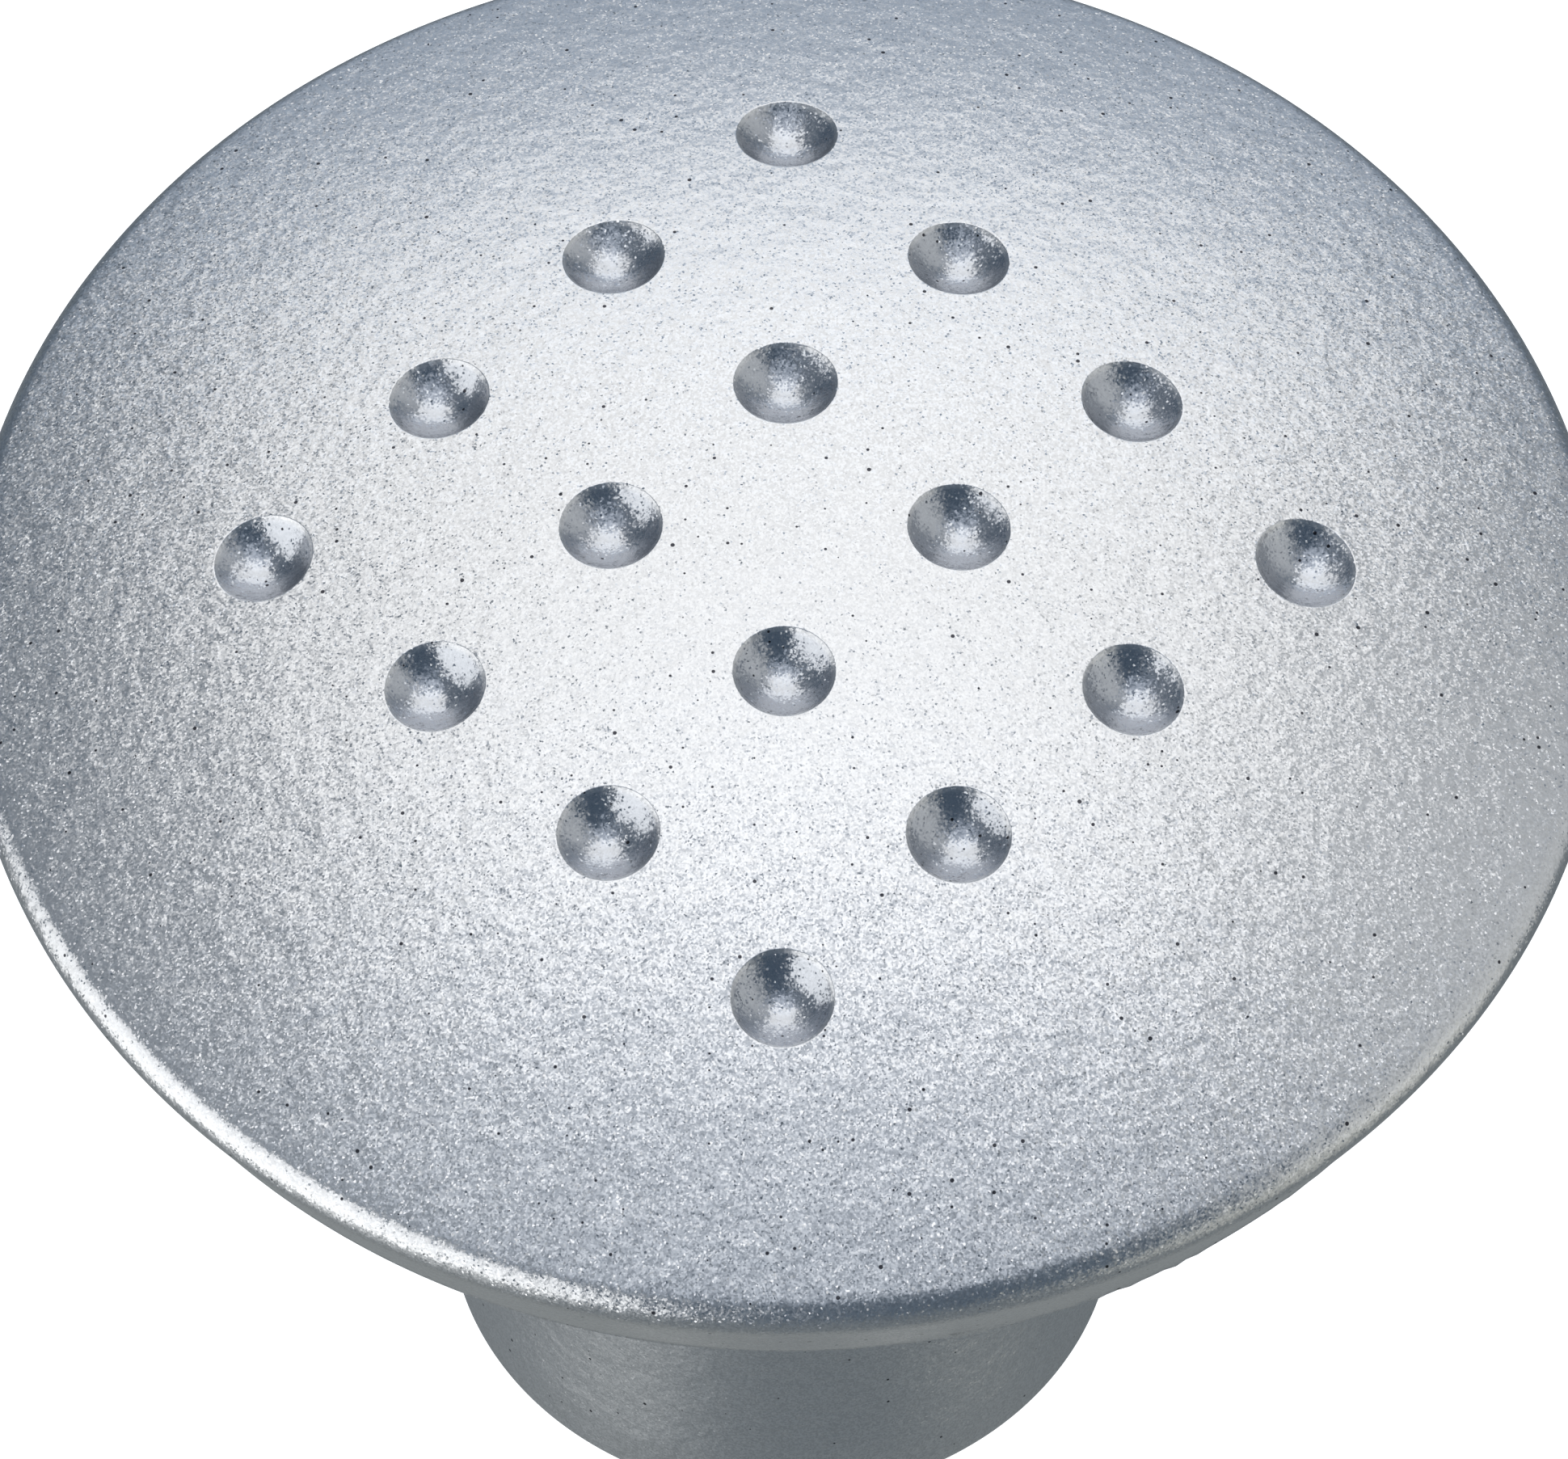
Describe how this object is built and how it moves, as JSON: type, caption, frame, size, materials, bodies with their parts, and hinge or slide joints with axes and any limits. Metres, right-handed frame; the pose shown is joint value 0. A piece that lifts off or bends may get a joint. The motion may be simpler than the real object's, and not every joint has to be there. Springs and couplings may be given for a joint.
{
  "type": "cabinet knob",
  "caption": "Round mushroom-shaped furniture knob with a dimpled dome, satin silver paint, and its machine screw and washer.",
  "frame": {"origin": "centre of the foot's mounting face, where the knob sits on the drawer front", "axes": "+Z along the knob's axis towards the domed head; the dimple grid's diagonals lie along X and Y; the screw comes from -Z"},
  "size_m": [0.032, 0.032, 0.0466],
  "materials": {
    "silver_paint": "satin silver metallic paint with fine flakes, slight orange peel and a few dark specks",
    "plated_steel": "bright zinc plate"
  },
  "bodies": {
    "knob": {"knob_body": "silver_paint"},
    "washer": {"washer": "plated_steel"},
    "screw": {"mounting_screw": "plated_steel"}
  },
  "joints": [
    {"name": "washer_travel", "type": "slide", "parent": "knob", "child": "washer", "axis": [0, 0, 1], "range_m": [-0.0049, 0.0063]},
    {"name": "screw_turn", "type": "hinge", "parent": "washer", "child": "screw", "pos_m": [0, 0, 0], "axis": [0, 0, 1], "range_deg": [-2520, 3240]}
  ],
  "couplings": [
    {"joint": "screw_turn", "follows": "washer_travel", "rad_per_m": 8976}
  ]
}
